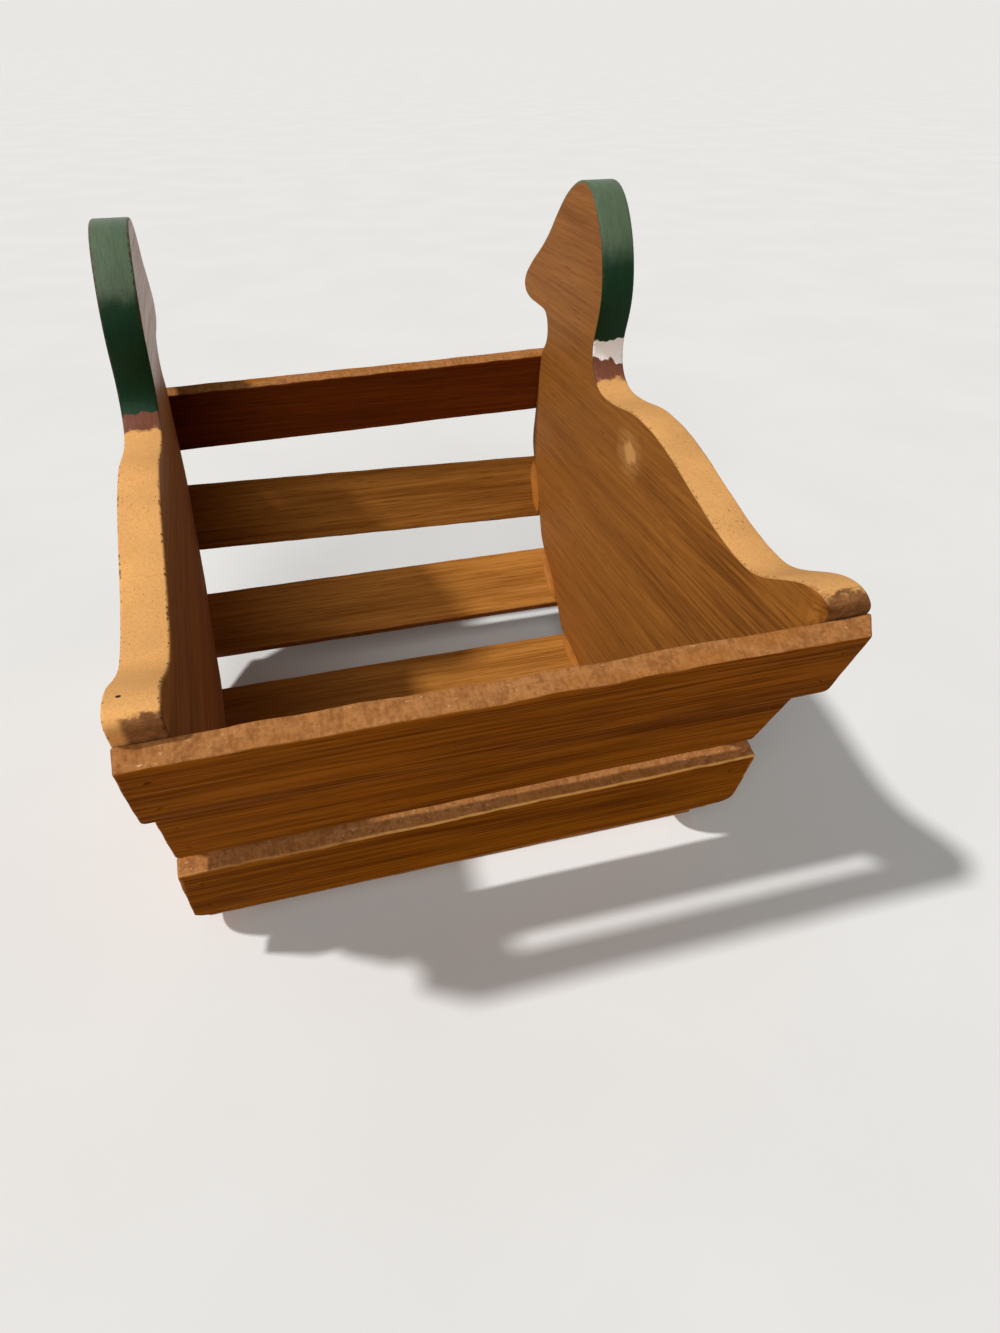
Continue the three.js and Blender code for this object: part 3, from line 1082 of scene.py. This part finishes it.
def board_edge_finish(node, look):
    """Sealed sawn edge specked with pores, with the painted bands, a painted highlight on the crown, a
    nail hole painted dark as its shade, and a tail end darkened by soil and painted shade.
    """
    finish = Finish(node + "_edge")
    paint = PAINT[node]
    sand = finish.noise(1300, 3, 0.7)
    tan = shade(look.edge_tan, paint["edge"])
    ground = finish.mix(finish.noise(70, 3).step(0.3, 0.7), shade(tan, 0.88), tan)
    ground = finish.mix(sand.step(0.56, 0.36, 0.0, 0.35), ground, shade(tan, 0.6))
    clusters = finish.noise(55, 2).step(0.4, 0.62, 0.1, 0.75)
    pore = finish.noise(EDGE_PORES, 1).step(0.67, 0.75) * clusters
    ground = finish.mix(pore, ground, PORE_BROWN)
    if node in NAIL_HOLES:
        # The nail hole isn't cut: a dark spot paints the shade in it
        hole_shade = finish.away(NAIL_HOLES[node]).step(NAIL_HOLE_RADIUS, 0.7 * NAIL_HOLE_RADIUS)
        ground = finish.mix(hole_shade, ground, NAIL_HOLE_SHADE)
    ground = soiled_and_shaded_tail(finish, ground, paint)
    colour, painted, strokes = paint_bands(
        finish, ground, paint, look, EDGE_WAVER, paint["white_from"], crown=True
    )
    more = finish.axis("Z").step(*HEAD_CHIPS, 0.0, paint["head_chips"])
    chips = (finish.noise(620, 4, 0.6) + more).step(0.54, 0.62, 0.0, paint["chips"])
    chipped = finish.attribute("arris") * chips
    colour = finish.mix(chipped, colour, CHIP_BROWN)
    roughness = painted.step(0.0, 1.0, 0.85, 0.42)
    relief = sand - pore * 0.8 + strokes * 0.3 - chipped * 1.5
    return finish.done(colour, roughness, relief, *EDGE_RELIEF, PAINT_SHINE)


def board_outer_finish(node, look):
    """Stained outer face with the painted bands carried over it from the edge."""
    finish = Finish(node + "_outside")
    ground, relief, _ = stain(finish, "Y", look.stain_light, look.stain_dark, OUTSIDE_GRAIN)
    paint = PAINT[node]
    colour, painted, strokes = paint_bands(
        finish, ground, paint, look, OUTSIDE_WAVER, paint["green_from"] - OUTSIDE_RING
    )
    roughness = painted.step(0.0, 1.0, 0.75, 0.42)
    return finish.done(colour, roughness, relief + strokes * 0.4, *OUTSIDE_RELIEF, OUTSIDE_SHINE)


def brad_finish(look):
    finish = Finish("brad_steel")
    rust = finish.noise(1800, 3)
    colour = finish.mix(rust.step(0.35, 0.65), shade(look.steel, 0.45), look.steel)
    finish.shader.inputs["Metallic"].default_value = BRAD_METAL
    return finish.done(colour, rust.step(0.3, 0.7, 0.75, 0.5), rust, *BRAD_RELIEF, BRAD_SHINE)


def glue_finish(look):
    finish = Finish("dried_glue")
    cloud = finish.noise(160, 3)
    colour = finish.mix(cloud.step(0.35, 0.65), shade(look.amber, 0.8), look.amber)
    return finish.done(colour, cloud.step(0.3, 0.7, 0.6, 0.45), cloud, *GLUE_RELIEF, GLUE_SHINE)


# Stage

FLOOR_HALF = 15
FLOOR_SHINE = 0.1
# How strongly the camera sees the sky behind the floor
BACKGROUND = 0.983
# Where the two distant lights come from, and how wide they are
KEY_FROM = (-1.31, -0.17, 2.02)
KEY_SPREAD = math.radians(4)
FILL_FROM = (-0.5, -1.2, 0.9)
FILL_SPREAD = math.radians(35)
# Camera, with its focal length and the picture's height in pixels
CAMERA_PLACE = (-0.0537, -0.28506, 0.2483)
CAMERA_AIM = (0.2315, 0.7888, -0.5695)
PHOTO_FOCAL = 924
PHOTO_HEIGHT = 1333
SENSOR = 36
NEAREST_SEEN = 10 * MM


def build_floor(look):
    bm = bmesh.new()
    bmesh.ops.create_grid(bm, x_segments=1, y_segments=1, size=FLOOR_HALF)
    mesh = bpy.data.meshes.new("floor")
    bm.to_mesh(mesh)
    bm.free()
    finish = Finish("pale_floor")
    mottle = finish.noise(9, 4)
    colour = finish.mix(mottle.step(0.3, 0.7), shade(look.floor, 0.97), look.floor)
    colour = finish.mix(finish.seen(), look.bounce, colour)
    roughness = mottle.step(0.3, 0.7, 0.9, 0.8)
    mesh.materials.append(finish.done(colour, roughness, mottle, *FLOOR_RELIEF, FLOOR_SHINE))
    floor = bpy.data.objects.new("floor", mesh)
    bpy.context.scene.collection.objects.link(floor)


def build_light(name, came_from, spread, strength):
    """A distant soft lamp, so that the floor is lit evenly."""
    lamp = bpy.data.lights.new(name, "SUN")
    lamp.energy = strength
    lamp.angle = spread
    light = bpy.data.objects.new(name, lamp)
    light.location = came_from
    light.rotation_euler = Vector(came_from).to_track_quat("Z", "Y").to_euler()
    bpy.context.scene.collection.objects.link(light)


def build_sky(look):
    """Even light from all round, which the camera sees as a pale background."""
    world = bpy.data.worlds.new("studio")
    world.use_nodes = True
    nodes = Nodes(world.node_tree)
    inputs = {"Value": nodes.seen(), "To Min": look.sky, "To Max": BACKGROUND}
    strength = nodes.node("ShaderNodeMapRange", inputs)
    background = world.node_tree.nodes["Background"].inputs
    nodes.feed(background["Color"], look.floor)
    nodes.feed(background["Strength"], strength)
    bpy.context.scene.world = world


def build_camera():
    lens = bpy.data.cameras.new("camera")
    lens.sensor_width = SENSOR
    lens.lens = SENSOR * PHOTO_FOCAL / PHOTO_HEIGHT
    lens.clip_start = NEAREST_SEEN
    camera = bpy.data.objects.new("camera", lens)
    camera.location = CAMERA_PLACE
    camera.rotation_euler = Vector(CAMERA_AIM).to_track_quat("-Z", "Y").to_euler()
    bpy.context.scene.collection.objects.link(camera)
    bpy.context.scene.camera = camera


# Operators


class DUCK_BASKET_OT_boards(Operator):
    """Saw, stain and paint the two side boards"""

    bl_idname = "duck_basket.boards"
    bl_label = "Side Boards"

    def execute(self, context):
        look = context.scene.duck_boards
        for seed, (node, outward) in zip(itertools.count(*BOARD_SEEDS), BOARDS.items()):
            materials = (
                board_face_finish(node, look),
                board_edge_finish(node, look),
                board_outer_finish(node, look),
            )
            build_board(node, outward, seed, look, materials)
        return {"FINISHED"}


class DUCK_BASKET_OT_slats(Operator):
    """Saw and stain the slats"""

    bl_idname = "duck_basket.slats"
    bl_label = "Slats"

    def execute(self, context):
        look = context.scene.duck_slats
        faces = {kind: slat_face_finish(kind, look) for kind in STAINS_WITH_PAINTED_LIGHT}
        sawn_edge = slat_edge_finish("slat_sawn_edge", look)
        split_edge = slat_edge_finish("slat_split_edge", look, True)
        for seed, node in zip(itertools.count(*SLAT_SEEDS), SLATS):
            # Some breast slats take a copy of the stain with painted light, and one takes the copy with
            # painted shade
            face = faces[SLAT_STAINS_WITH_PAINTED_LIGHT.get(node, PLAIN_STAIN)]
            materials = (face, split_edge if node in ROUGH_EDGES else sawn_edge)
            build_slat(node, seed, look, context.scene.duck_brads, materials)
        return {"FINISHED"}


class DUCK_BASKET_OT_brads(Operator):
    """Drive the brads at both ends of each slat"""

    bl_idname = "duck_basket.brads"
    bl_label = "Brads"

    def execute(self, context):
        look = context.scene.duck_brads
        material = brad_finish(look)
        for node in SLATS:
            lath = Lath(node)
            for index in range(BRADS_PER_SLAT):
                build_brad(lath, index, look, material)
        return {"FINISHED"}


class DUCK_BASKET_OT_glue(Operator):
    """Squeeze dried glue out of the corners by the right board"""

    bl_idname = "duck_basket.glue"
    bl_label = "Glue"

    def execute(self, context):
        look = context.scene.duck_glue
        material = glue_finish(look)
        for seed, node in zip(itertools.count(*GLUE_SEEDS), GLUED_SLATS):
            build_glue(node, seed, look, material)
        return {"FINISHED"}


class DUCK_BASKET_OT_stage(Operator):
    """Set up the floor, the lights and the camera"""

    bl_idname = "duck_basket.stage"
    bl_label = "Stage"

    def execute(self, context):
        look = context.scene.duck_stage
        context.scene.view_settings.view_transform = "Standard"
        build_floor(look)
        build_sky(look)
        build_light("key_light", KEY_FROM, KEY_SPREAD, look.key_strength)
        build_light("fill_light", FILL_FROM, FILL_SPREAD, look.fill_strength)
        build_camera()
        return {"FINISHED"}


class DUCK_BASKET_PT_panel(Panel):
    """Pieces of the basket, in the 3D view's sidebar"""

    bl_idname = "DUCK_BASKET_PT_panel"
    bl_label = "Duck Basket"
    bl_space_type = "VIEW_3D"
    bl_region_type = "UI"
    bl_category = "Duck Basket"

    def draw(self, context):
        for operator, group, _ in BUILD_ORDER:
            box = self.layout.box()
            box.operator(operator.bl_idname)
            look = getattr(context.scene, group)
            for name in look.bl_rna.properties.keys():
                if name not in {"rna_type", "name"}:
                    box.prop(look, name)


BUILD_ORDER = (
    (DUCK_BASKET_OT_boards, "duck_boards", BoardLook),
    (DUCK_BASKET_OT_slats, "duck_slats", SlatLook),
    (DUCK_BASKET_OT_brads, "duck_brads", BradLook),
    (DUCK_BASKET_OT_glue, "duck_glue", GlueLook),
    (DUCK_BASKET_OT_stage, "duck_stage", StageLook),
)


def register():
    for operator, group, look in BUILD_ORDER:
        bpy.utils.register_class(look)
        setattr(bpy.types.Scene, group, PointerProperty(type=look))
        bpy.utils.register_class(operator)
    bpy.utils.register_class(DUCK_BASKET_PT_panel)


def unregister():
    bpy.utils.unregister_class(DUCK_BASKET_PT_panel)
    for operator, group, look in reversed(BUILD_ORDER):
        bpy.utils.unregister_class(operator)
        delattr(bpy.types.Scene, group)
        bpy.utils.unregister_class(look)


def main():
    register()
    bpy.ops.duck_basket.boards()
    bpy.ops.duck_basket.slats()
    bpy.ops.duck_basket.brads()
    bpy.ops.duck_basket.glue()
    bpy.ops.duck_basket.stage()


if __name__ == "__main__":
    main()
